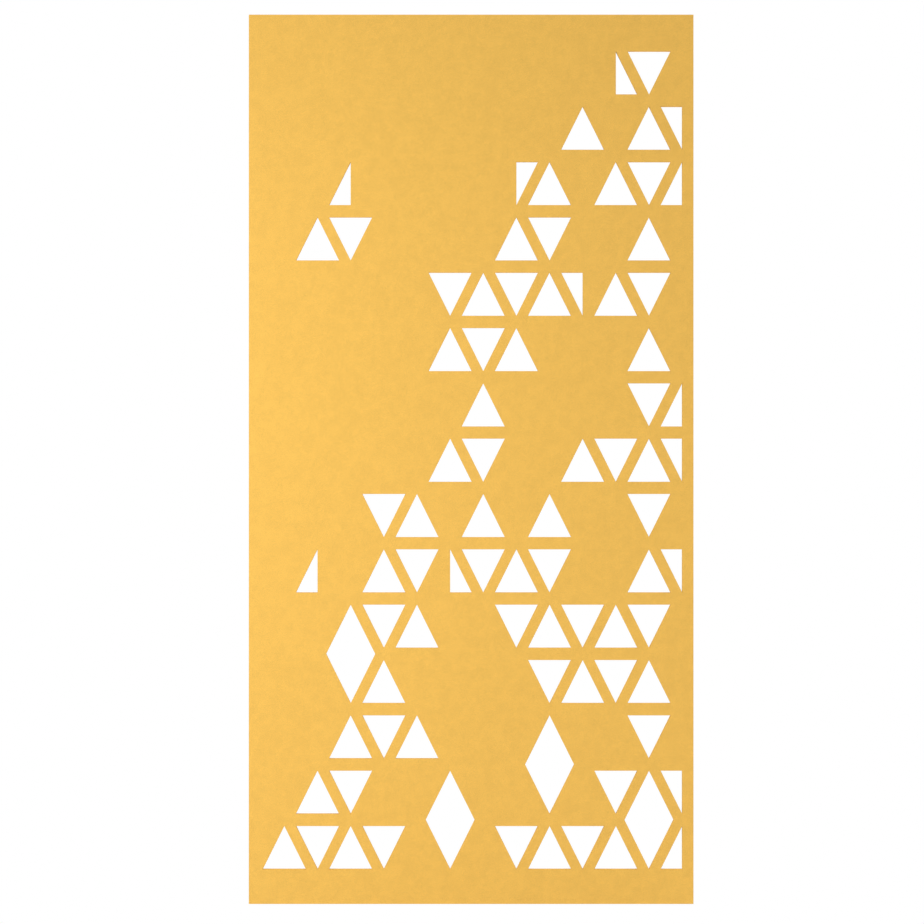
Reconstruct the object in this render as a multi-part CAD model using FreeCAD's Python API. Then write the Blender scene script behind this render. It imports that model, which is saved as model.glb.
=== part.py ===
"""Hanging room divider: two felt boards, cut with a lattice of triangles and laminated face to
face round a concealed hanging rail. Two wire grippers stand in slots in the top edge.

Millimetres, +Z up, the front faces -Y. The origin is the middle of the top edge, halfway
through the thickness and level with the mouths of the two grippers.
"""

import FreeCAD
import Part
import math
import os

Vector = FreeCAD.Vector

# Felt boards
PANEL_WIDTH = 1220.0
PANEL_HEIGHT = 2440.0
BOARD_THICKNESS = 12.0

# Lattice of cut-outs: the felt that is left beside and between the triangles
LEFT_BORDER = 38.6
RIGHT_BORDER = 31.0
SLANT_BAR = 32.0
ROW_BAR = 33.6

# One line per row and one mark per column. A dot is plain felt, o a whole triangle, < and > the
# left and right half of one, and A over V the two ends of a lozenge. Triangles point up and down
# by turns, and the first one of the first row points up.
CUTOUTS = (
    "..........>o.",
    ".........o.o<",
    "..<....>o.oo<",
    ".oo....oo..o.",
    ".....oooo<oo.",
    ".....ooo...o.",
    "......o....o<",
    ".....oo..ooo<",
    "...oo.o.o..o.",
    ".<.oo>ooo..o<",
    "..Aoo..ooooo.",
    "..Vo....oooo.",
    "..ooo...A..o.",
    ".oo..A..V.oA<",
    "oooo.V.ooooV<",
)

# Hanging rail, an extrusion with a slotted channel above and a tongue below
RAIL_END_COVER = 50.0
RAIL_WALL = 1.6
RAIL_LIP = 2.0
RAIL_FLOOR = 2.0
RAIL_SLOT_GAP = 0.6
TONGUE_THICKNESS = 2.5
TONGUE_HEIGHT = 30.0
TONGUE_COVER = 16.4

# Pins through the tongue that carry the felt
ANCHOR_COUNT = 8
ANCHOR_RADIUS = 4.0
ANCHOR_SKIN = 3.5
ANCHOR_CHAMFER = 0.8

# Stiffening bar in the bottom band
BAR_HEIGHT = 40.0
BAR_THICKNESS = 5.0
BAR_CHAMFER = 0.8
BAR_COVER_ABOVE = 25.0
BAR_COVER_BELOW = 30.4
BAR_END_COVER = 50.0

# Hanger places and the slots in the top edge
HANGER_INSET = 160.0
HANGER_TRAVEL = 60.0
WELL_END_GAP = 9.5
WELL_SIDE_GAP = 1.5

# Slider nut in the rail and the washer above it
SLIDER_LENGTH = 20.0
SLIDER_SHOULDER = 2.1
SLIDER_HEIGHT = 6.0
SLIDER_DROP = 1.5
SLIDER_SIDE_GAP = 0.2
SLIDER_CHAMFER = 0.6
NECK_SHARE = 0.75
NECK_SIDE_GAP = 0.2
WASHER_THICKNESS = 1.0
WASHER_BORE_GAP = 0.2
STUD_RADIUS = 2.5
STUD_CHAMFER = 0.5

# Gripper barrel, with a cone inside that narrows upwards
THROAT_LENGTH = 4.0
CONE_LENGTH = 9.0
CONE_RESERVE = 0.32
BARREL_WALL = 1.3
BARREL_CHAMFER = 0.4
HEX_HEIGHT = 4.0
HEX_CUT = 1.0

# Release plunger, which is also the cage of the locking balls
WIRE_HOLE_RADIUS = 1.25
PLUNGER_WALL = 1.75
PLUNGER_GAP = 0.1
PLUNGER_RISE = 6.0
PLUNGER_CHAMFER = 0.5
FLANGE_HEIGHT = 1.5
FLANGE_DROP = 0.3
FLANGE_SIDE_GAP = 0.4
BALL_COUNT = 3
BALL_STANDOUT = 0.75
BALL_BORE_GAP = 0.05
BALL_CONE_GAP = 0.08
BALL_HOLE_GAP = 0.1

# Plunger spring
SPRING_LENGTH = 6.0
SPRING_WIRE_RADIUS = 0.3
SPRING_SIDE_GAP = 0.6
SPRING_TURNS = 3.5

# Wire deflector and the base that closes the barrel
DEFLECTOR_HEIGHT = 7.0
DEFLECTOR_HOLE_RADIUS = 1.5
DEFLECTOR_HOLE_SHARE = 0.55
EXIT_GAP = 0.2
BASE_INSERT = 6.2
BASE_FLANGE = 1.5

# Fits
LAMINATION_FIT = 0.2
THREAD_FIT = 0.05
OVERRUN = 5.0

# Angles and counts that a circle has
FULL_TURN = 360.0
HALF_HEX_ANGLE = math.radians(30)
HEX_SIDES = 6
QUARTERS = 4

# Gripper sizes that follow from the wire's bore outwards
PLUNGER_RADIUS = WIRE_HOLE_RADIUS + PLUNGER_WALL
THROAT_RADIUS = PLUNGER_RADIUS + PLUNGER_GAP
BALL_RADIUS = (PLUNGER_WALL + BALL_STANDOUT) / 2
BALL_CIRCLE_RADIUS = WIRE_HOLE_RADIUS + BALL_BORE_GAP + BALL_RADIUS
CHAMBER_RADIUS = BALL_CIRCLE_RADIUS + BALL_RADIUS + BALL_CONE_GAP + CONE_RESERVE
BARREL_RADIUS = CHAMBER_RADIUS + BARREL_WALL
HEX_RADIUS = (BARREL_RADIUS - HEX_CUT) / math.cos(HALF_HEX_ANGLE)
INSERT_RADIUS = CHAMBER_RADIUS - THREAD_FIT
FLANGE_RADIUS = CHAMBER_RADIUS - FLANGE_SIDE_GAP

# Heights down the gripper, from the top edge
BARREL_TOP = -PLUNGER_RISE
CONE_TOP = BARREL_TOP - THROAT_LENGTH
CONE_BOTTOM = CONE_TOP - CONE_LENGTH
FLANGE_TOP = CONE_BOTTOM - FLANGE_DROP
SPRING_TOP = FLANGE_TOP - FLANGE_HEIGHT
DEFLECTOR_TOP = SPRING_TOP - SPRING_LENGTH
BASE_TOP = DEFLECTOR_TOP - DEFLECTOR_HEIGHT
BARREL_BOTTOM = BASE_TOP - BASE_INSERT
BASE_BOTTOM = BARREL_BOTTOM - BASE_FLANGE
RAIL_TOP = BASE_BOTTOM - WASHER_THICKNESS
EXIT_HEIGHT = DEFLECTOR_TOP - DEFLECTOR_HEIGHT * DEFLECTOR_HOLE_SHARE

# Height at which the balls rest, just clear of the cone
CONE_SLOPE = math.atan2(CHAMBER_RADIUS - THROAT_RADIUS, CONE_LENGTH)
BALL_WALL_RADIUS = BALL_CIRCLE_RADIUS + (BALL_RADIUS + BALL_CONE_GAP) / math.cos(CONE_SLOPE)
BALL_HEIGHT = CONE_TOP - (BALL_WALL_RADIUS - THROAT_RADIUS) / math.tan(CONE_SLOPE)

# Heights and widths of the rail
SLIDER_TOP = RAIL_TOP - RAIL_LIP
SLIDER_BOTTOM = SLIDER_TOP - SLIDER_HEIGHT
RAIL_BOTTOM = SLIDER_BOTTOM - SLIDER_DROP - RAIL_FLOOR
TONGUE_BOTTOM = RAIL_BOTTOM - TONGUE_HEIGHT
RAIL_SLOT = 2 * (STUD_RADIUS + RAIL_SLOT_GAP)
SLIDER_WIDTH = RAIL_SLOT + 2 * SLIDER_SHOULDER
RAIL_INNER_WIDTH = SLIDER_WIDTH + 2 * SLIDER_SIDE_GAP
RAIL_WIDTH = RAIL_INNER_WIDTH + 2 * RAIL_WALL
RAIL_LENGTH = PANEL_WIDTH - 2 * RAIL_END_COVER

# Anchor pins sit halfway down the tongue, evenly spaced along it
ANCHOR_HEIGHT = (RAIL_BOTTOM + TONGUE_BOTTOM) / 2
ANCHOR_PITCH = RAIL_LENGTH / ANCHOR_COUNT
ANCHOR_LENGTH = 2 * (BOARD_THICKNESS - ANCHOR_SKIN)

# Hangers and their slots
HANGER_X = RAIL_LENGTH / 2 - HANGER_INSET
WELL_LENGTH = 2 * (HANGER_TRAVEL + BARREL_RADIUS + WELL_END_GAP)
WELL_WIDTH = 2 * (BARREL_RADIUS + WELL_SIDE_GAP)
SIDES = {"left": -1, "right": 1}

# The bar and the bands of plain felt that hide the rail and the bar
BAR_LENGTH = PANEL_WIDTH - 2 * BAR_END_COVER
BAR_BOTTOM = BAR_COVER_BELOW - PANEL_HEIGHT
BAR_TOP = BAR_BOTTOM + BAR_HEIGHT
FIRST_ROW_TOP = TONGUE_BOTTOM - TONGUE_COVER
LAST_ROW_BOTTOM = BAR_TOP + BAR_COVER_ABOVE

# Lattice: as many rows and columns as the table has, spread over what the borders leave
ROW_COUNT = len(CUTOUTS)
COLUMN_COUNT = len(CUTOUTS[0])
TRIANGLE_HEIGHT = (FIRST_ROW_TOP - LAST_ROW_BOTTOM - (ROW_COUNT - 1) * ROW_BAR) / ROW_COUNT
ROW_PITCH = TRIANGLE_HEIGHT + ROW_BAR
COLUMN_PITCH = (PANEL_WIDTH - LEFT_BORDER - RIGHT_BORDER + SLANT_BAR) / COLUMN_COUNT
HALF_BASE = COLUMN_PITCH - SLANT_BAR
LOZENGE_HALF_HEIGHT = TRIANGLE_HEIGHT + ROW_BAR / 2
LOZENGE_HALF_WIDTH = HALF_BASE * LOZENGE_HALF_HEIGHT / TRIANGLE_HEIGHT


def block(x_span, y_span, z_span):
    """Block between two places on each axis."""
    sizes = [high - low for low, high in (x_span, y_span, z_span)]
    return Part.makeBox(*sizes, Vector(x_span[0], y_span[0], z_span[0]))


def centred(width, middle=0):
    """The two ends of a width laid evenly about a middle."""
    return middle - width / 2, middle + width / 2


def rod(radius, start, end):
    """Round bar between two points."""
    return Part.makeCylinder(radius, (end - start).Length, start, end - start)


def upright_rod(radius, x, z_span):
    """Round bar that stands at x, in the middle of the thickness."""
    return rod(radius, Vector(x, 0, z_span[0]), Vector(x, 0, z_span[1]))


def turned(profile, x):
    """Solid turned about the upright line at x from (radius, height) points."""
    points = [Vector(x + radius, 0, height) for radius, height in profile]
    face = Part.Face(Part.makePolygon(points + points[:1]))
    return face.revolve(Vector(x, 0, 0), Vector(0, 0, 1), FULL_TURN)


def directions(count):
    """Level directions, evenly spaced round a full turn."""
    angles = [2 * math.pi * index / count for index in range(count)]
    return [Vector(math.cos(angle), math.sin(angle), 0) for angle in angles]


def outline_wire(points, y):
    """Closed outline of (x, height) points at one depth."""
    corners = [Vector(x, y, z) for x, z in points]
    return Part.makePolygon(corners + corners[:1])


def cutout_points(row, column, mark):
    """Corners of one cut-out of the lattice, as (x, height)."""
    x = LEFT_BORDER + HALF_BASE + column * COLUMN_PITCH - PANEL_WIDTH / 2
    top = FIRST_ROW_TOP - row * ROW_PITCH
    bottom = top - TRIANGLE_HEIGHT
    if mark == "A":
        middle = top - LOZENGE_HALF_HEIGHT
        low = top - 2 * LOZENGE_HALF_HEIGHT
        return (x, top), (x + LOZENGE_HALF_WIDTH, middle), (x, low), (x - LOZENGE_HALF_WIDTH, middle)
    points_up = (row + column) % 2 == 0
    apex, base = (top, bottom) if points_up else (bottom, top)
    left = x if mark == ">" else x - HALF_BASE
    right = x if mark == "<" else x + HALF_BASE
    return (left, base), (right, base), (x, apex)


def cutouts():
    """Outlines of every cut-out. The V below a lozenge's A belongs to the same outline."""
    return [
        cutout_points(row, column, mark)
        for row, marks in enumerate(CUTOUTS)
        for column, mark in enumerate(marks)
        if mark in "o<>A"
    ]


def anchor_places():
    """Places of the anchor pins along the rail."""
    first = (ANCHOR_PITCH - RAIL_LENGTH) / 2
    return [first + index * ANCHOR_PITCH for index in range(ANCHOR_COUNT)]


def anchor_pin(x, radius, length):
    """Pin across the thickness, through the tongue."""
    near, far = centred(length)
    return rod(radius, Vector(x, near, ANCHOR_HEIGHT), Vector(x, far, ANCHOR_HEIGHT))


def felt_pockets():
    """What is routed out of the two inner faces, for the rail, its pins, the slots and the bar."""
    rail_span = centred(RAIL_LENGTH + 2 * LAMINATION_FIT)
    rail = block(
        rail_span,
        centred(RAIL_WIDTH + 2 * LAMINATION_FIT),
        (RAIL_BOTTOM - LAMINATION_FIT, RAIL_TOP + LAMINATION_FIT),
    )
    tongue = block(
        rail_span,
        centred(TONGUE_THICKNESS + 2 * LAMINATION_FIT),
        (TONGUE_BOTTOM - LAMINATION_FIT, RAIL_BOTTOM),
    )
    wells = [
        block(centred(WELL_LENGTH, side * HANGER_X), centred(WELL_WIDTH), (RAIL_TOP, OVERRUN))
        for side in SIDES.values()
    ]
    pins = [
        anchor_pin(x, ANCHOR_RADIUS + LAMINATION_FIT, ANCHOR_LENGTH + 2 * LAMINATION_FIT)
        for x in anchor_places()
    ]
    bar = block(
        centred(BAR_LENGTH + 2 * LAMINATION_FIT),
        centred(BAR_THICKNESS + 2 * LAMINATION_FIT),
        (BAR_BOTTOM, BAR_TOP + LAMINATION_FIT),
    )
    return [rail, tongue, *wells, *pins, bar]


def felt_board(facing):
    """One felt board, on the front (-1) or rear (1) of the middle plane."""
    left, right = centred(PANEL_WIDTH)
    edge = ((left, 0), (right, 0), (right, -PANEL_HEIGHT), (left, -PANEL_HEIGHT))
    outlines = [outline_wire(points, 0) for points in (edge, *cutouts())]
    face = Part.makeFace(outlines, "Part::FaceMakerBullseye")
    board = face.extrude(Vector(0, facing * BOARD_THICKNESS, 0))
    return board.cut(felt_pockets())


def top_rail():
    """Extruded rail: a channel with a slot along its top, and a tongue with holes for the pins."""
    span = centred(RAIL_LENGTH)
    channel = block(span, centred(RAIL_WIDTH), (RAIL_BOTTOM, RAIL_TOP))
    tongue = block(span, centred(TONGUE_THICKNESS), (TONGUE_BOTTOM, RAIL_BOTTOM))
    through = centred(RAIL_LENGTH + 2 * OVERRUN)
    inside = block(through, centred(RAIL_INNER_WIDTH), (RAIL_BOTTOM + RAIL_FLOOR, SLIDER_TOP))
    slot = block(through, centred(RAIL_SLOT), (SLIDER_TOP, RAIL_TOP + OVERRUN))
    holes = [
        anchor_pin(x, ANCHOR_RADIUS + THREAD_FIT, TONGUE_THICKNESS + 2 * OVERRUN)
        for x in anchor_places()
    ]
    return channel.fuse(tongue).cut([inside, slot, *holes]).removeSplitter()


def rail_anchor_pins():
    """Pins that key the tongue into both boards."""
    pins = []
    for x in anchor_places():
        pin = anchor_pin(x, ANCHOR_RADIUS, ANCHOR_LENGTH)
        rims = [edge for edge in pin.Edges if edge.Closed]
        pins.append(pin.makeChamfer(ANCHOR_CHAMFER, rims))
    return Part.Compound(pins)


def bottom_bar():
    """Flat bar in a pocket of the bottom band, which keeps the lower edge straight."""
    bar = block(centred(BAR_LENGTH), centred(BAR_THICKNESS), (BAR_BOTTOM, BAR_TOP))
    long_edges = [edge for edge in bar.Edges if edge.Length > BAR_LENGTH / 2]
    return bar.makeChamfer(BAR_CHAMFER, long_edges)


def rail_slider(x):
    """Nut that slides in the rail. Its neck stands in the slot and stops it turning."""
    nut = block(centred(SLIDER_LENGTH, x), centred(SLIDER_WIDTH), (SLIDER_BOTTOM, SLIDER_TOP))
    uprights = [edge for edge in nut.Edges if edge.BoundBox.ZLength > SLIDER_HEIGHT / 2]
    nut = nut.makeChamfer(SLIDER_CHAMFER, uprights)
    neck = block(
        centred(SLIDER_LENGTH - 2 * SLIDER_CHAMFER, x),
        centred(RAIL_SLOT - 2 * NECK_SIDE_GAP),
        (SLIDER_TOP, SLIDER_TOP + RAIL_LIP * NECK_SHARE),
    )
    hole = upright_rod(STUD_RADIUS + THREAD_FIT, x, (SLIDER_BOTTOM - OVERRUN, RAIL_TOP))
    return nut.fuse(neck).cut(hole).removeSplitter()


def clamp_washer(x):
    """Washer between the rail's lips and the gripper."""
    washer = upright_rod(BARREL_RADIUS, x, (RAIL_TOP, BASE_BOTTOM))
    bore = upright_rod(STUD_RADIUS + WASHER_BORE_GAP, x, (RAIL_TOP, BASE_BOTTOM))
    return washer.cut(bore)


def gripper_stud(x):
    """Threaded stud, screwed into the base and on down into the slider nut."""
    stud = upright_rod(STUD_RADIUS, x, (SLIDER_BOTTOM, BASE_TOP))
    rims = [edge for edge in stud.Edges if edge.Closed]
    return stud.makeChamfer(STUD_CHAMFER, rims)


def gripper_base(x):
    """Screwed base that closes the barrel and clamps on the washer."""
    bore = STUD_RADIUS + THREAD_FIT
    profile = (
        (bore, BASE_TOP),
        (INSERT_RADIUS, BASE_TOP),
        (INSERT_RADIUS, BARREL_BOTTOM),
        (BARREL_RADIUS, BARREL_BOTTOM),
        (BARREL_RADIUS, BASE_BOTTOM),
        (bore, BASE_BOTTOM),
    )
    return turned(profile, x)


def exit_hole(x, side, radius, length):
    """Hole that leads the wire's tail out sideways, towards the middle of the panel."""
    return rod(radius, Vector(x, 0, EXIT_HEIGHT), Vector(x - side * length, 0, EXIT_HEIGHT))


def wire_deflector(x, side):
    """Plug under the spring that turns the wire's tail out through the side."""
    plug = upright_rod(INSERT_RADIUS, x, (BASE_TOP, DEFLECTOR_TOP))
    inlet = upright_rod(DEFLECTOR_HOLE_RADIUS, x, (EXIT_HEIGHT, DEFLECTOR_TOP + OVERRUN))
    elbow = Part.makeSphere(DEFLECTOR_HOLE_RADIUS, Vector(x, 0, EXIT_HEIGHT))
    outlet = exit_hole(x, side, DEFLECTOR_HOLE_RADIUS, BARREL_RADIUS + OVERRUN)
    return plug.cut([inlet, elbow, outlet])


def gripper_barrel(x, side):
    """Barrel with a hexagonal head, a throat for the plunger and a cone for the balls."""
    profile = (
        (THROAT_RADIUS, BARREL_TOP),
        (BARREL_RADIUS - BARREL_CHAMFER, BARREL_TOP),
        (BARREL_RADIUS, BARREL_TOP - BARREL_CHAMFER),
        (BARREL_RADIUS, BARREL_BOTTOM),
        (CHAMBER_RADIUS, BARREL_BOTTOM),
        (CHAMBER_RADIUS, CONE_BOTTOM),
        (THROAT_RADIUS, CONE_TOP),
    )
    barrel = turned(profile, x)
    middle = Vector(x, 0, BARREL_TOP)
    corners = [middle + way * HEX_RADIUS for way in directions(HEX_SIDES)]
    hexagon = Part.Face(Part.makePolygon(corners + corners[:1])).extrude(Vector(0, 0, -HEX_HEIGHT))
    ring = upright_rod(BARREL_RADIUS + OVERRUN, x, (BARREL_TOP - HEX_HEIGHT, BARREL_TOP))
    exit_bore = exit_hole(x, side, DEFLECTOR_HOLE_RADIUS + EXIT_GAP, BARREL_RADIUS + OVERRUN)
    return barrel.cut(ring.cut(hexagon)).cut(exit_bore)


def release_plunger(x):
    """Plunger with the wire's bore, a hole for each ball and a flange for the spring."""
    profile = (
        (WIRE_HOLE_RADIUS, 0),
        (PLUNGER_RADIUS - PLUNGER_CHAMFER, 0),
        (PLUNGER_RADIUS, -PLUNGER_CHAMFER),
        (PLUNGER_RADIUS, FLANGE_TOP),
        (FLANGE_RADIUS, FLANGE_TOP),
        (FLANGE_RADIUS, SPRING_TOP),
        (WIRE_HOLE_RADIUS, SPRING_TOP),
    )
    middle = Vector(x, 0, BALL_HEIGHT)
    holes = [
        rod(BALL_RADIUS + BALL_HOLE_GAP, middle, middle + way * BARREL_RADIUS)
        for way in directions(BALL_COUNT)
    ]
    return turned(profile, x).cut(holes)


def locking_balls(x):
    """Balls that the cone wedges against the wire."""
    middle = Vector(x, 0, BALL_HEIGHT)
    balls = [
        Part.makeSphere(BALL_RADIUS, middle + way * BALL_CIRCLE_RADIUS)
        for way in directions(BALL_COUNT)
    ]
    return Part.Compound(balls)


def tangent_arc(start, corner, end):
    """Arc from start to end whose end tangents meet at the corner."""
    middle = (start + end) / 2
    half_chord = (end - start).Length / 2
    rise = corner - middle
    half_angle = math.atan2(rise.Length, half_chord)
    top = middle + rise * (half_chord * math.tan(half_angle / 2) / rise.Length)
    return Part.Arc(start, top, end).toShape()


def biarc(start, start_way, end, end_way):
    """Two arcs that leave one point along its direction and reach the next along that one's."""
    span = end - start
    both = span.dot(start_way + end_way)
    spread = 2 * (1 - start_way.dot(end_way))
    reach = (math.sqrt(both * both + spread * span.dot(span)) - both) / spread
    first_corner = start + start_way * reach
    last_corner = end - end_way * reach
    joint = (first_corner + last_corner) / 2
    return [tangent_arc(start, first_corner, joint), tangent_arc(joint, last_corner, end)]


def coil_gap(points):
    """Least clear distance between places on the coil that are half a turn or more apart."""
    half_turn = QUARTERS // 2
    distances = [
        (point - other).Length
        for index, point in enumerate(points)
        for other in points[index + half_turn:]
    ]
    return min(distances) - 2 * SPRING_WIRE_RADIUS


def plunger_spring(x):
    """Coil spring between the plunger's flange and the deflector."""
    radius = CHAMBER_RADIUS - SPRING_SIDE_GAP - SPRING_WIRE_RADIUS
    bottom = DEFLECTOR_TOP + SPRING_WIRE_RADIUS
    steps = round(SPRING_TURNS * QUARTERS)
    climb = (SPRING_LENGTH - 2 * SPRING_WIRE_RADIUS) * QUARTERS / steps
    points, ways = [], []
    for step in range(steps + 1):
        turn = step / QUARTERS
        out = Vector(math.cos(2 * math.pi * turn), math.sin(2 * math.pi * turn), 0)
        points.append(Vector(x, 0, bottom + climb * turn) + out * radius)
        way = Vector(0, 0, 1).cross(out) * (2 * math.pi * radius) + Vector(0, 0, climb)
        ways.append(way.normalize())
    arcs = []
    for step in range(steps):
        arcs += biarc(points[step], ways[step], points[step + 1], ways[step + 1])
    print("spring's least gap to itself", round(coil_gap(points), 2))
    section = Part.Wire(Part.Circle(points[0], ways[0], SPRING_WIRE_RADIUS).toShape())
    return Part.Wire(arcs).makePipeShell([section], True, False)


def hanger(name, side):
    """Every piece of one hanger, by node name."""
    x = side * HANGER_X
    return {
        f"rail_slider_{name}": rail_slider(x),
        f"clamp_washer_{name}": clamp_washer(x),
        f"gripper_stud_{name}": gripper_stud(x),
        f"gripper_base_{name}": gripper_base(x),
        f"wire_deflector_{name}": wire_deflector(x, side),
        f"gripper_barrel_{name}": gripper_barrel(x, side),
        f"release_plunger_{name}": release_plunger(x),
        f"locking_balls_{name}": locking_balls(x),
        f"plunger_spring_{name}": plunger_spring(x),
    }


def divider():
    """Every piece of the divider, by node name."""
    pieces = {
        "front_felt_board": felt_board(-1),
        "rear_felt_board": felt_board(1),
        "top_rail": top_rail(),
        "rail_anchor_pins": rail_anchor_pins(),
        "bottom_bar": bottom_bar(),
    }
    for name, side in SIDES.items():
        pieces.update(hanger(name, side))
    return pieces


os.makedirs("parts", exist_ok=True)
for node, shape in divider().items():
    shape.exportStep(os.path.join("parts", node + ".step"))
    print(node, len(shape.Solids), shape.isValid(), round(shape.Volume, 1))
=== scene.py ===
"""Hanging room divider of golden felt board, with its finishes, stage and camera.

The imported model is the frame: every piece here keeps the place and size that it has there.
Lengths are metres.
"""

import math

import bmesh
import bpy
from bpy.props import FloatProperty, FloatVectorProperty, PointerProperty
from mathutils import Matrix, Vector


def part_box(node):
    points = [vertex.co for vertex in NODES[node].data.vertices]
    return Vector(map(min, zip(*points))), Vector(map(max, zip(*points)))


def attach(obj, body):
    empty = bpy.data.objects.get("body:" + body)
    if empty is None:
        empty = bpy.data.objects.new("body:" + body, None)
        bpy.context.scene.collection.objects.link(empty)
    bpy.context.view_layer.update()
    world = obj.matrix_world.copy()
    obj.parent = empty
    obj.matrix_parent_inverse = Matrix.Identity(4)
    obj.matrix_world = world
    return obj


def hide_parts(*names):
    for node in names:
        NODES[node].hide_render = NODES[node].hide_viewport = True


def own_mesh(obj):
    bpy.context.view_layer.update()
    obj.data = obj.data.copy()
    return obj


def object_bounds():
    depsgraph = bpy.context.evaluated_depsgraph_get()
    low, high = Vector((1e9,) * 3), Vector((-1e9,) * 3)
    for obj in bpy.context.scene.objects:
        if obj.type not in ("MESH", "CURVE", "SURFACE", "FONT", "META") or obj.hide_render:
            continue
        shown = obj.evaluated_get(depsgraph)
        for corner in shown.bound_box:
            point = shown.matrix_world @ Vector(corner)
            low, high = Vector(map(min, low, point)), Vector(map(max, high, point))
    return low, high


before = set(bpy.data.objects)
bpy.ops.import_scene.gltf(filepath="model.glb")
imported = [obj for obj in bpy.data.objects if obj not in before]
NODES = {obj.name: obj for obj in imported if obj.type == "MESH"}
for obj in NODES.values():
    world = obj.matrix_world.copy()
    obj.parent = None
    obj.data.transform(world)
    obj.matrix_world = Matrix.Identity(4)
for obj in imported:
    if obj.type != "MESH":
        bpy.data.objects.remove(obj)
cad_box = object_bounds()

bl_info = {
    "name": "Hanging Felt Divider",
    "version": (1, 0, 0),
    "blender": (4, 5, 0),
    "location": "View3D > Sidebar > Divider",
    "description": "Dresses a hanging felt room divider and sets it on a plain stage",
    "category": "Object",
}

SIDES = ("left", "right")

# Where the panel's edges lie in the photograph, in pixels of its square frame
PHOTO_SIZE = 924
PHOTO_LEFT, PHOTO_RIGHT = 248.8, 693.5
PHOTO_TOP, PHOTO_BOTTOM = 14.4, 904.2

# Mesh: the distances at which corners are one and a point lies on a plane, the angles from which an
# edge is sharp and below which it is flat, and the cosine from which a facet belongs to the face
MERGE_DISTANCE = 1e-6
PLANE_TOLERANCE = 1e-5
SHARP_ANGLE = math.radians(40)
FLAT_ANGLE = math.radians(0.1)
FACING_COSINE = 0.7

# Rounding of an edge: strips across it, and the bulge that makes them round
EDGE_STRIPS = 3
ROUND_PROFILE = 0.5

# Noise: the middle of its values, and the range that most of them keep to
NOISE_MIDDLE = 0.5
NOISE_RANGE = 0.3, 0.7

# Felt fibres: their length and spacing, the angles about the panel's normal at which they lie, in
# radians, the levels of noise along which light and dark ones run, how far they reach to either side
# of those, how rough their noise is, how many curls and patches a metre holds, and how rough the
# patches are
FIBRE_LENGTH, FIBRE_WIDTH = 0.009, 0.001
FIBRE_ANGLES = (0.25, 1.05, 1.8, 2.6)
LIGHT_LEVEL, DARK_LEVEL = 0.54, 0.46
FIBRE_THICKNESS = 0.045
FIBRE_ROUGHNESS = 0.6
CURLS_PER_METRE = 120
PATCHES_PER_METRE = 42
PATCH_ROUGHNESS = 0.62

# Cut edge of the felt: the size of its fibres beside those of the face, their share in its relief, its
# layers as noise cells per metre, and the levels of that noise between which they go from dark to light
CUT_FIBRE_SHARE = 0.5
CUT_FLECK_SHARE = 0.5
CUT_CELLS = (450, 1900, 450)
LAYER_RANGE = 0.35, 0.65

# Drawn lines: noise cells per metre until a material sets its own, and the cells of the broad clouds
# as a share of those of the lines
LINE_CELLS = (30, 4000, 4000)
BROAD_SHARE = 0.15

# Rubbed edges: their reach, the rays that find them, the cosines of the rounded normal between which
# wear sets in, the grain per metre that breaks it up, and the levels of that grain between which it is
# rubbed
WEAR_RADIUS = 0.0003
WEAR_SAMPLES = 4
WEAR_COSINES = 0.97, 0.75
WEAR_GRAIN = 1500
WEAR_RANGE = 0.35, 0.6

# Relief of each finish: strength and depth
FACE_RELIEF = 0.4, 0.0005
CUT_RELIEF = 0.5, 0.0006
METAL_RELIEF = 0.15, 0.00002
NYLON_RELIEF = 0.25, 0.00005

# Darkest and lightest tone of each finish, as shares of its colour
CUT_TONE_SHARES = 0.9, 1
METAL_TONE_SHARES = 0.86, 1.1
NYLON_TONE_SHARES = 0.85, 1.15
NYLON_EDGE_SHARE = 1.6
FLOOR_TONE_SHARES = 0.99, 1.01

# Metals: their colour, noise cells per metre along X, Y and Z, least and most roughness, and the
# colour of rubbed edges. Where an axis has few cells, the lines are drawn out along it.
METALS = {
    "mill_aluminium": ("aluminium", (25, 5200, 5200), (0.28, 0.46), "aluminium"),
    "zinc_bar": ("zinc", (40, 900, 900), (0.34, 0.52), "zinc"),
    "zinc_plate": ("zinc", (900, 900, 900), (0.32, 0.5), "zinc"),
    "satin_nickel": ("nickel", (90, 90, 7000), (0.2, 0.36), "brass"),
    "polished_steel": ("steel", (600, 600, 600), (0.05, 0.12), "steel"),
    "spring_wire": ("wire", (3000, 3000, 3000), (0.25, 0.4), "wire"),
}

# Nylon: noise cells per metre, least and most roughness
NYLON_CELLS = (2500, 2500, 2500)
NYLON_ROUGHNESS = 0.42, 0.6

# Floor: sides of its disc, grain per metre, and the share of its reach at which it starts to fade
FLOOR_SIDES = 96
FLOOR_GRAIN = 6
FADE_START_SHARE = 0.55

# Lamps: place, the place that each points at, its size, and the name of its power
PANEL_MIDDLE = (cad_box[0] + cad_box[1]) / 2
LAMPS = {
    "key": ((-1.32, -2.13, -0.93), (-1.32, 0, -0.93), 0.8, "key_power"),
    "top": ((0.7, 0.9, 2.6), PANEL_MIDDLE, 0.4, "top_power"),
    "rear": ((1.2, 3.0, -0.9), PANEL_MIDDLE, 1.6, "rear_power"),
    "left": ((-3.2, 0.6, -1.2), PANEL_MIDDLE, 1.0, "side_power"),
    "right": ((3.2, 0.6, -1.2), PANEL_MIDDLE, 1.0, "side_power"),
}

WHITE = (1, 1, 1)


def colour_property(name, description, default):
    """A colour that the user can change."""
    return FloatVectorProperty(
        name=name, description=description, subtype="COLOR", size=3, min=0, max=1, default=default
    )


def length_property(name, description, default):
    """A length that the user can change."""
    return FloatProperty(
        name=name, description=description, unit="LENGTH", precision=4, default=default
    )


def share_property(name, description, default):
    """A share from none to all that the user can change."""
    return FloatProperty(
        name=name, description=description, subtype="FACTOR", min=0, max=1, default=default
    )


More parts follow.
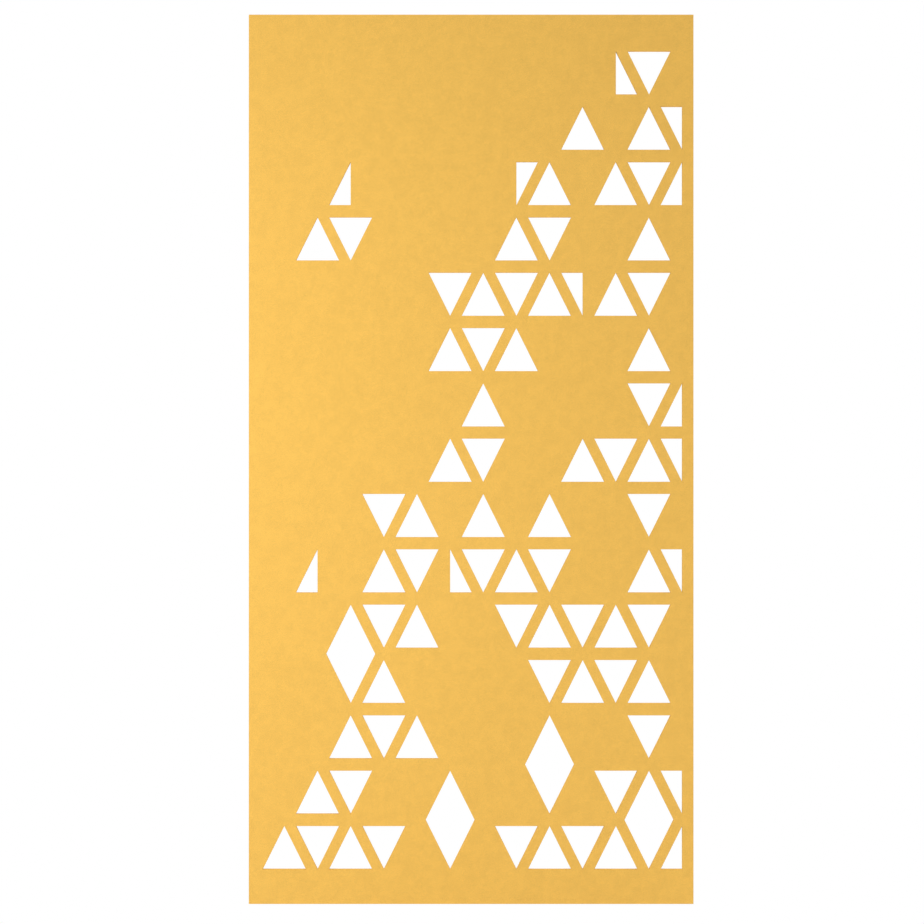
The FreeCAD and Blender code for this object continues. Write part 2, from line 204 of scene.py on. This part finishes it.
def power_property(name, description, default):
    """A lamp's power that the user can change."""
    return FloatProperty(name=name, description=description, unit="POWER", default=default)


class FeltLook(bpy.types.PropertyGroup):
    """Colour and surface of the felt boards."""

    colour: colour_property("Felt colour", "Colour of the felt as a whole", (0.888, 0.5245, 0.1064))
    fleck: share_property("Fleck", "How far single fibres are lighter or darker", 0.14)
    mottle: share_property("Mottle", "How far soft patches are lighter or darker", 0.03)
    # Painted shade: the cut edges and walls are the same felt, made darker by this share
    cut_painted_shade: share_property("Cut shade", "How much darker the cut edges are", 0.06)
    edge_radius: length_property("Edge radius", "Rounding of the cut edges", 0.0008)
    fibre_length: length_property("Fibre length", "Length of the loops of a fibre", FIBRE_LENGTH)
    fibre_width: length_property("Fibre width", "Distance between neighbouring fibres", FIBRE_WIDTH)


class HardwareLook(bpy.types.PropertyGroup):
    """Colours of the rail, the bar and the wire grippers."""

    aluminium: colour_property("Aluminium", "Mill-finish rail", (0.56, 0.57, 0.58))
    zinc: colour_property("Zinc", "Zinc plating of nuts, washers and the bar", (0.47, 0.49, 0.51))
    nickel: colour_property("Nickel", "Satin plating of the grippers", (0.56, 0.535, 0.48))
    brass: colour_property("Brass", "Brass that shows where the plating has worn", (0.75, 0.52, 0.22))
    steel: colour_property("Steel", "Polished balls", (0.55, 0.56, 0.58))
    wire: colour_property("Spring wire", "Drawn wire of the springs", (0.33, 0.33, 0.35))
    black_nylon: colour_property("Black nylon", "Wire deflectors", (0.025, 0.025, 0.027))
    white_nylon: colour_property("White nylon", "Anchor pins", (0.72, 0.7, 0.63))


class StageLook(bpy.types.PropertyGroup):
    """Floor, lamps and camera."""

    lens: FloatProperty(
        name="Lens", description="Focal length", subtype="DISTANCE_CAMERA", default=200
    )
    floor_drop: length_property("Floor drop", "Height of the panel above the floor", 0.15)
    floor_radius: length_property("Floor radius", "Size of the floor", 5.0)
    floor_reach: length_property("Floor reach", "Distance at which the floor is faded to white", 1.25)
    floor_forward: length_property("Floor forward", "How far its middle lies before the panel", 0.2)
    floor_colour: colour_property("Floor colour", "Pale floor", (0.8, 0.8, 0.79))
    ambient: FloatProperty(
        name="Ambient", description="Strength of the light all round", default=0.53
    )
    overhead: FloatProperty(
        name="Overhead", description="How much stronger that light is from straight above", default=1.2
    )
    key_power: power_property("Key power", "Power of the soft lamp at the front left", 21)
    top_power: power_property("Top power", "Power of the lamp above, for the shadow", 30)
    side_power: power_property("Side power", "Power of each soft lamp at the sides", 18)
    rear_power: power_property("Rear power", "Power of the soft lamp behind", 14)


# Node helpers


def add(tree, kind, inputs=None, **settings):
    """A new node. Each input is set to a value, or linked to another node's output."""
    node = tree.nodes.new(kind)
    for name, value in settings.items():
        setattr(node, name, value)
    for name, value in (inputs or {}).items():
        if isinstance(value, bpy.types.NodeSocket):
            tree.links.new(value, node.inputs[name])
        else:
            node.inputs[name].default_value = value
    return node


def maths(tree, operation, *values):
    """Result of one sum."""
    return add(tree, "ShaderNodeMath", dict(enumerate(values)), operation=operation).outputs[0]


def vector_maths(tree, operation, *values, result="Vector"):
    """Result of one sum on vectors."""
    inputs = dict(enumerate(values))
    return add(tree, "ShaderNodeVectorMath", inputs, operation=operation).outputs[result]


def noise(tree, vector, cells, detail, roughness=0.5):
    """Outputs of a noise with so many cells to the unit."""
    inputs = {"Vector": vector, "Scale": cells, "Detail": detail, "Roughness": roughness}
    return add(tree, "ShaderNodeTexNoise", inputs).outputs


def object_place(tree):
    """Place on the object itself."""
    return add(tree, "ShaderNodeTexCoord").outputs["Object"]


def blend(tree, factor, first, second, mode="MIX"):
    """Colour between two colours, or one laid over the other."""
    # The sockets of this node share their names, so those for colours go by number
    inputs = {0: factor, 6: first, 7: second}
    return add(tree, "ShaderNodeMix", inputs, data_type="RGBA", blend_type=mode).outputs[2]


def remap(tree, value, source, target=(0, 1)):
    """Value carried from one range to another, with soft ends."""
    names = "From Min", "From Max", "To Min", "To Max"
    inputs = {"Value": value, **dict(zip(names, (*source, *target)))}
    return add(tree, "ShaderNodeMapRange", inputs, interpolation_type="SMOOTHSTEP").outputs[0]


def ridge(tree, value, level, width):
    """One along the line where a value crosses a level, fading out to both sides."""
    offset = maths(tree, "ABSOLUTE", maths(tree, "SUBTRACT", value, level))
    return remap(tree, offset, (0, width), (1, 0))


def relief(tree, height, size):
    """Normal of a surface with this height, strength and depth."""
    strength, depth = size
    inputs = {"Strength": strength, "Distance": depth, "Height": height}
    return add(tree, "ShaderNodeBump", inputs).outputs[0]


def mixed(tree, factor, first, second):
    """Shader between two shaders."""
    inputs = {0: factor, 1: first.outputs[0], 2: second.outputs[0]}
    return add(tree, "ShaderNodeMixShader", inputs)


def opaque(colour):
    """Colour with full alpha."""
    return (*colour, 1)


def scaled(colour, factor):
    """Lighter or darker colour with full alpha."""
    return opaque(min(part * factor, 1) for part in colour)


def tones(tree, factor, colour, shares):
    """Colour between the darkest and the lightest tone of a finish."""
    dark, light = (scaled(colour, share) for share in shares)
    return blend(tree, factor, dark, light)


def effect(name, inputs, outputs):
    """Shader node group with named sockets, and the sockets inside it."""
    tree = bpy.data.node_groups.new(name, "ShaderNodeTree")
    for label, default in inputs.items():
        kind = "NodeSocketFloat" if isinstance(default, (int, float)) else "NodeSocketVector"
        tree.interface.new_socket(label, in_out="INPUT", socket_type=kind).default_value = default
    for label in outputs:
        tree.interface.new_socket(label, in_out="OUTPUT", socket_type="NodeSocketFloat")
    return tree, tree.nodes.new("NodeGroupInput").outputs, tree.nodes.new("NodeGroupOutput").inputs


def place(tree, name, **values):
    """A shared effect in a material, with its own values. The first use builds it."""
    node = tree.nodes.new("ShaderNodeGroup")
    node.node_tree = bpy.data.node_groups.get(name) or EFFECTS[name](name)
    for label, value in values.items():
        node.inputs[label.capitalize()].default_value = value
    return node.outputs


def new_material(name):
    """Empty node material, and its tree."""
    material = bpy.data.materials.new(name)
    material.use_nodes = True
    material.node_tree.nodes.clear()
    return material, material.node_tree


def finish_material(tree, inputs):
    """Principled surface with these inputs, and the material's output."""
    shader = add(tree, "ShaderNodeBsdfPrincipled", inputs)
    add(tree, "ShaderNodeOutputMaterial", {"Surface": shader.outputs[0]})


# Shared effects


def fibre_effect(name):
    """Tangled fibres in several directions, which lie in the plane of the board."""
    sizes = {"Length": FIBRE_LENGTH, "Width": FIBRE_WIDTH, "Thickness": FIBRE_THICKNESS}
    tree, given, result = effect(name, sizes, ("Fleck", "Patch"))
    in_felt = object_place(tree)
    curl = noise(tree, in_felt, CURLS_PER_METRE, detail=2)["Color"]
    centred = vector_maths(tree, "SUBTRACT", curl, (NOISE_MIDDLE,) * 3)
    bent = vector_maths(tree, "ADD", in_felt, vector_maths(tree, "MULTIPLY", centred, given["Length"]))
    along = maths(tree, "DIVIDE", 1, given["Length"])
    across = maths(tree, "DIVIDE", 1, given["Width"])
    scale = add(tree, "ShaderNodeCombineXYZ", {"X": along, "Y": across, "Z": across}).outputs[0]
    light, dark = 0, 0
    for angle in FIBRE_ANGLES:
        inputs = {"Vector": bent, "Angle": angle}
        turned = add(tree, "ShaderNodeVectorRotate", inputs, rotation_type="Y_AXIS").outputs[0]
        stretched = vector_maths(tree, "MULTIPLY", turned, scale)
        level = noise(tree, stretched, 1, detail=2, roughness=FIBRE_ROUGHNESS)["Fac"]
        light = maths(tree, "MAXIMUM", light, ridge(tree, level, LIGHT_LEVEL, given["Thickness"]))
        dark = maths(tree, "MAXIMUM", dark, ridge(tree, level, DARK_LEVEL, given["Thickness"]))
    fleck = maths(tree, "SUBTRACT", light, dark)
    patch = noise(tree, in_felt, PATCHES_PER_METRE, detail=4, roughness=PATCH_ROUGHNESS)["Fac"]
    # Dark fibres go out as zero, the bare ground as the middle and light fibres as one
    tree.links.new(maths(tree, "MULTIPLY_ADD", fleck, NOISE_MIDDLE, NOISE_MIDDLE), result["Fleck"])
    tree.links.new(patch, result["Patch"])
    return tree


def line_effect(name):
    """Fine lines and broad clouds, drawn out along the axes that have few cells."""
    tree, given, result = effect(name, {"Cells": LINE_CELLS}, ("Line", "Broad"))
    stretched = vector_maths(tree, "MULTIPLY", object_place(tree), given["Cells"])
    tree.links.new(noise(tree, stretched, 1, detail=3)["Fac"], result["Line"])
    tree.links.new(noise(tree, stretched, BROAD_SHARE, detail=2)["Fac"], result["Broad"])
    return tree


def wear_effect(name):
    """Rubbed edges, broken up by noise."""
    sizes = {"Radius": WEAR_RADIUS, "Grain": WEAR_GRAIN}
    tree, given, result = effect(name, sizes, ("Mask",))
    rounded = add(tree, "ShaderNodeBevel", {"Radius": given["Radius"]}, samples=WEAR_SAMPLES).outputs[0]
    flat = add(tree, "ShaderNodeNewGeometry").outputs["Normal"]
    alike = vector_maths(tree, "DOT_PRODUCT", rounded, flat, result="Value")
    edge = remap(tree, alike, WEAR_COSINES)
    grain = noise(tree, object_place(tree), given["Grain"], detail=3)["Fac"]
    rubbed = remap(tree, grain, WEAR_RANGE)
    tree.links.new(maths(tree, "MULTIPLY", edge, rubbed), result["Mask"])
    return tree


EFFECTS = {"Felt fibres": fibre_effect, "Drawn lines": line_effect, "Edge wear": wear_effect}


# Finishes


def felt_tone(tree, look, fibres, shade):
    """Colour of the felt from its fibres and patches, times a share that paints shade on the cut edges.
    """
    patch = remap(tree, fibres["Patch"], NOISE_RANGE)
    ground = tones(tree, patch, look.colour, (shade * (1 - look.mottle), shade * (1 + look.mottle)))
    dark, light = (opaque((1 + sign * look.fleck,) * 3) for sign in (-1, 1))
    fleck = blend(tree, fibres["Fleck"], dark, light)
    return blend(tree, 1, ground, fleck, "MULTIPLY")


def felt_face_finish(look):
    """Face of the felt: matted fibres, soft patches and a short nap."""
    material, tree = new_material("felt_face")
    fibres = place(tree, "Felt fibres", length=look.fibre_length, width=look.fibre_width)
    height = maths(tree, "ADD", fibres["Fleck"], fibres["Patch"])
    finish_material(
        tree,
        {
            "Base Color": felt_tone(tree, look, fibres, 1),
            "Roughness": 0.95,
            "Specular IOR Level": 0.15,
            "Sheen Weight": 0.12,
            "Sheen Roughness": 0.6,
            "Sheen Tint": opaque(look.colour),
            "Normal": relief(tree, height, FACE_RELIEF),
        },
    )
    return material


def felt_cut_finish(look):
    """Cut edge of the felt: fibre ends in layers that follow the faces, with painted shade that makes
    it darker than the face.
    """
    material, tree = new_material("felt_cut")
    length, width = (size * CUT_FIBRE_SHARE for size in (look.fibre_length, look.fibre_width))
    fibres = place(tree, "Felt fibres", length=length, width=width)
    layers = place(tree, "Drawn lines", cells=CUT_CELLS)
    fleck = maths(tree, "MULTIPLY", fibres["Fleck"], CUT_FLECK_SHARE)
    height = maths(tree, "ADD", layers["Line"], fleck)
    # Painted shade: the same felt colour, darkened for the cut edges
    tone = felt_tone(tree, look, fibres, 1 - look.cut_painted_shade)
    layer = tones(tree, remap(tree, layers["Line"], LAYER_RANGE), WHITE, CUT_TONE_SHARES)
    finish_material(
        tree,
        {
            "Base Color": blend(tree, 1, tone, layer, "MULTIPLY"),
            "Roughness": 0.9,
            "Specular IOR Level": 0.2,
            "Sheen Weight": 0.1,
            "Sheen Roughness": 0.5,
            "Sheen Tint": opaque(look.colour),
            "Normal": relief(tree, height, CUT_RELIEF),
        },
    )
    return material


def metal_finish(name, look):
    """Metal with drawn or turned lines, cloudy tone and rubbed edges."""
    material, tree = new_material(name)
    colour, cells, roughness, bare = METALS[name]
    lines = place(tree, "Drawn lines", cells=cells)
    wear = place(tree, "Edge wear", radius=WEAR_RADIUS)
    ground = tones(tree, lines["Broad"], getattr(look, colour), METAL_TONE_SHARES)
    finish_material(
        tree,
        {
            "Base Color": blend(tree, wear["Mask"], ground, opaque(getattr(look, bare))),
            "Metallic": 1,
            "Roughness": remap(tree, lines["Line"], NOISE_RANGE, roughness),
            "Normal": relief(tree, lines["Line"], METAL_RELIEF),
        },
    )
    return material


def nylon_finish(name, look):
    """Moulded or turned nylon with a fine grain and paler edges."""
    material, tree = new_material(name)
    colour = getattr(look, name)
    grain = place(tree, "Drawn lines", cells=NYLON_CELLS)
    wear = place(tree, "Edge wear", radius=WEAR_RADIUS)
    ground = tones(tree, grain["Broad"], colour, NYLON_TONE_SHARES)
    finish_material(
        tree,
        {
            "Base Color": blend(tree, wear["Mask"], ground, scaled(colour, NYLON_EDGE_SHARE)),
            "Roughness": remap(tree, grain["Broad"], NOISE_RANGE, NYLON_ROUGHNESS),
            "Normal": relief(tree, grain["Line"], NYLON_RELIEF),
        },
    )
    return material


# Felt boards


def new_piece(name, mesh):
    """Object of a mesh, in the scene."""
    piece = bpy.data.objects.new(name, mesh)
    bpy.context.scene.collection.objects.link(piece)
    return piece


def visible_edges(board, face_y):
    """Sharp edges that show: on the outer face, on top, and where the boards meet in the open."""
    low, high = cad_box
    lattice_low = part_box("bottom_bar")[1].z
    lattice_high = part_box("top_rail")[0].z
    edges = []
    for edge in board.edges:
        start, end = (corner.co for corner in edge.verts)
        middle = (start + end) / 2
        on_top = abs(middle.z - high.z) < PLANE_TOLERANCE
        crosswise = abs(end.y - start.y) > PLANE_TOLERANCE and not on_top
        if crosswise or edge.calc_face_angle() < SHARP_ANGLE:
            continue
        outside = min(middle.x - low.x, high.x - middle.x, middle.z - low.z) < PLANE_TOLERANCE
        at_cutout = lattice_low < middle.z < lattice_high
        on_face = abs(middle.y - face_y) < PLANE_TOLERANCE
        on_seam = abs(middle.y) < PLANE_TOLERANCE and (outside or at_cutout)
        if on_face or on_top or on_seam:
            edges.append(edge)
    return edges


def round_edges(board, edges, radius):
    """Round edges off with smooth strips."""
    made = bmesh.ops.bevel(
        board,
        geom=edges,
        offset=radius,
        offset_type="OFFSET",
        segments=EDGE_STRIPS,
        profile=ROUND_PROFILE,
        affect="EDGES",
        clamp_overlap=True,
    )
    for face in made["faces"]:
        face.smooth = True


def felt_board(node, look, finishes):
    """Felt board of the frame's own shape, with soft edges and a finish for faces and for cuts."""
    low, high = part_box(node)
    face_y = low.y if abs(low.y) > abs(high.y) else high.y
    board = bmesh.new()
    board.from_mesh(NODES[node].data)
    bmesh.ops.remove_doubles(board, verts=board.verts, dist=MERGE_DISTANCE)
    flat = [edge for edge in board.edges if edge.calc_face_angle() < FLAT_ANGLE]
    bmesh.ops.beautify_fill(board, faces=board.faces, edges=flat)
    round_edges(board, visible_edges(board, face_y), look.edge_radius)
    board.normal_update()
    for face in board.faces:
        face.material_index = 0 if abs(face.normal.y) > FACING_COSINE else 1
    mesh = bpy.data.meshes.new(node + "_soft")
    board.to_mesh(mesh)
    board.free()
    for finish in finishes:
        mesh.materials.append(finish)
    piece = new_piece(node + "_soft", mesh)
    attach(piece, "panel")
    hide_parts(node)


class DIVIDER_OT_felt_boards(bpy.types.Operator):
    """Make the two felt boards with soft cut edges"""

    bl_idname = "divider.felt_boards"
    bl_label = "Felt Boards"

    def execute(self, context):
        look = context.scene.felt_look
        finishes = felt_face_finish(look), felt_cut_finish(look)
        for node in ("front_felt_board", "rear_felt_board"):
            felt_board(node, look, finishes)
        return {"FINISHED"}


# Rail, bar and grippers


def dress(node, finish):
    """Give a piece of the frame its finish."""
    NODES[node].material_slots[0].material = finish


def spring_coil(side, finish):
    """Coil spring of the frame's own shape."""
    node = f"plunger_spring_{side}"
    mesh = NODES[node].data.copy()
    mesh.materials[0] = finish
    piece = new_piece(node + "_coil", mesh)
    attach(piece, f"{side}_gripper_set")
    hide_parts(node)
    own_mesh(piece)


class DIVIDER_OT_rail(bpy.types.Operator):
    """Finish the hanging rail, its anchor pins and the bottom bar"""

    bl_idname = "divider.rail"
    bl_label = "Rail and Bar"

    def execute(self, context):
        look = context.scene.hardware_look
        dress("top_rail", metal_finish("mill_aluminium", look))
        dress("bottom_bar", metal_finish("zinc_bar", look))
        dress("rail_anchor_pins", nylon_finish("white_nylon", look))
        return {"FINISHED"}


class DIVIDER_OT_grippers(bpy.types.Operator):
    """Finish the two wire grippers and their sliders, and make their springs"""

    bl_idname = "divider.grippers"
    bl_label = "Wire Grippers"

    def execute(self, context):
        look = context.scene.hardware_look
        nickel = metal_finish("satin_nickel", look)
        zinc = metal_finish("zinc_plate", look)
        finishes = {
            "rail_slider": zinc,
            "clamp_washer": zinc,
            "gripper_stud": zinc,
            "gripper_base": nickel,
            "gripper_barrel": nickel,
            "release_plunger": nickel,
            "wire_deflector": nylon_finish("black_nylon", look),
            "locking_balls": metal_finish("polished_steel", look),
        }
        wire = metal_finish("spring_wire", look)
        for side in SIDES:
            spring_coil(side, wire)
            for piece, finish in finishes.items():
                dress(f"{piece}_{side}", finish)
        return {"FINISHED"}


# Stage


def seen_directly(tree):
    """One for what the camera sees straight, mirrored or through glass."""
    rays = add(tree, "ShaderNodeLightPath").outputs
    mirrored = maths(tree, "MAXIMUM", rays["Is Glossy Ray"], rays["Is Transmission Ray"])
    return maths(tree, "MAXIMUM", rays["Is Camera Ray"], mirrored)


def white_world(look):
    """Light all round, stronger from above, with a plain white background."""
    world = bpy.data.worlds.new("studio")
    world.use_nodes = True
    tree = world.node_tree
    tree.nodes.clear()
    direction = add(tree, "ShaderNodeTexCoord").outputs["Generated"]
    height = add(tree, "ShaderNodeSeparateXYZ", {0: direction}).outputs["Z"]
    raised = maths(tree, "MULTIPLY", maths(tree, "MAXIMUM", height, 0), look.ambient * look.overhead)
    strengths = maths(tree, "ADD", raised, look.ambient), 1
    light, white = (
        add(tree, "ShaderNodeBackground", {"Color": opaque(WHITE), "Strength": strength})
        for strength in strengths
    )
    surface = mixed(tree, seen_directly(tree), light, white)
    add(tree, "ShaderNodeOutputWorld", {"Surface": surface.outputs[0]})
    bpy.context.scene.world = world


def floor_finish(look):
    """Pale floor that keeps the shadow, fades to white far out and is clear from below."""
    material, tree = new_material("pale_floor")
    on_floor = object_place(tree)
    distance = vector_maths(tree, "LENGTH", on_floor, result="Value")
    far = remap(tree, distance, (look.floor_reach * FADE_START_SHARE, look.floor_reach))
    grain = noise(tree, on_floor, FLOOR_GRAIN, detail=3)["Fac"]
    tone = tones(tree, grain, look.floor_colour, FLOOR_TONE_SHARES)
    pale = add(tree, "ShaderNodeBsdfPrincipled", {"Base Color": tone, "Roughness": 0.8})
    white = add(tree, "ShaderNodeEmission", {"Color": opaque(WHITE), "Strength": 1})
    top = mixed(tree, maths(tree, "MULTIPLY", far, seen_directly(tree)), pale, white)
    clear = add(tree, "ShaderNodeBsdfTransparent")
    below = add(tree, "ShaderNodeNewGeometry").outputs["Backfacing"]
    surface = mixed(tree, below, top, clear)
    add(tree, "ShaderNodeOutputMaterial", {"Surface": surface.outputs[0]})
    return material


def floor(look):
    """Round floor under the panel."""
    disc = bmesh.new()
    bmesh.ops.create_circle(disc, cap_ends=True, segments=FLOOR_SIDES, radius=look.floor_radius)
    mesh = bpy.data.meshes.new("floor")
    disc.to_mesh(mesh)
    disc.free()
    mesh.materials.append(floor_finish(look))
    piece = new_piece("floor", mesh)
    piece.location = 0, -look.floor_forward, cad_box[0].z - look.floor_drop


def soft_lamp(name, spot, aim, size, power):
    """Large square lamp that points at a place."""
    lamp = bpy.data.lights.new(name, "AREA")
    lamp.size = size
    lamp.energy = power
    made = new_piece(name, lamp)
    made.location = spot
    made.rotation_euler = (Vector(aim) - Vector(spot)).to_track_quat("-Z", "Y").to_euler()


def camera(look):
    """Camera square to the front face, framed as the photograph is."""
    low, high = cad_box
    pixel = (high.x - low.x) / (PHOTO_RIGHT - PHOTO_LEFT)
    right = ((PHOTO_LEFT + PHOTO_RIGHT) / 2 - PHOTO_SIZE / 2) * pixel
    down = ((PHOTO_TOP + PHOTO_BOTTOM) / 2 - PHOTO_SIZE / 2) * pixel
    lens = bpy.data.cameras.new("camera")
    lens.lens = look.lens
    distance = PHOTO_SIZE * pixel * look.lens / lens.sensor_width
    made = new_piece("camera", lens)
    made.location = PANEL_MIDDLE.x - right, low.y - distance, PANEL_MIDDLE.z + down
    made.rotation_euler = math.radians(90), 0, 0
    bpy.context.scene.camera = made


class DIVIDER_OT_stage(bpy.types.Operator):
    """Set the floor, the lamps, the background and the camera"""

    bl_idname = "divider.stage"
    bl_label = "Stage"

    def execute(self, context):
        look = context.scene.stage_look
        context.scene.view_settings.view_transform = "Standard"
        white_world(look)
        floor(look)
        for name, (spot, aim, size, power) in LAMPS.items():
            soft_lamp(name, spot, aim, size, getattr(look, power))
        camera(look)
        return {"FINISHED"}


class DIVIDER_PT_panel(bpy.types.Panel):
    """Lists the steps and the looks in the sidebar"""

    bl_label = "Hanging Felt Divider"
    bl_space_type = "VIEW_3D"
    bl_region_type = "UI"
    bl_category = "Divider"

    def draw(self, context):
        for step in STEPS:
            self.layout.operator(step.bl_idname)
        for look in LOOKS:
            group = getattr(context.scene, look)
            box = self.layout.box()
            for name in group.__annotations__:
                box.prop(group, name)


STEPS = (DIVIDER_OT_felt_boards, DIVIDER_OT_rail, DIVIDER_OT_grippers, DIVIDER_OT_stage)
LOOKS = {"felt_look": FeltLook, "hardware_look": HardwareLook, "stage_look": StageLook}
CLASSES = (*LOOKS.values(), *STEPS, DIVIDER_PT_panel)


def register():
    """Add the looks, the steps and the panel."""
    for each in CLASSES:
        bpy.utils.register_class(each)
    for name, look in LOOKS.items():
        setattr(bpy.types.Scene, name, PointerProperty(type=look))


def unregister():
    """Take away what register added."""
    for name in LOOKS:
        delattr(bpy.types.Scene, name)
    for each in reversed(CLASSES):
        bpy.utils.unregister_class(each)


def main():
    """Dress the divider and set the stage."""
    register()
    bpy.ops.divider.felt_boards()
    bpy.ops.divider.rail()
    bpy.ops.divider.grippers()
    bpy.ops.divider.stage()


if __name__ == "__main__":
    main()
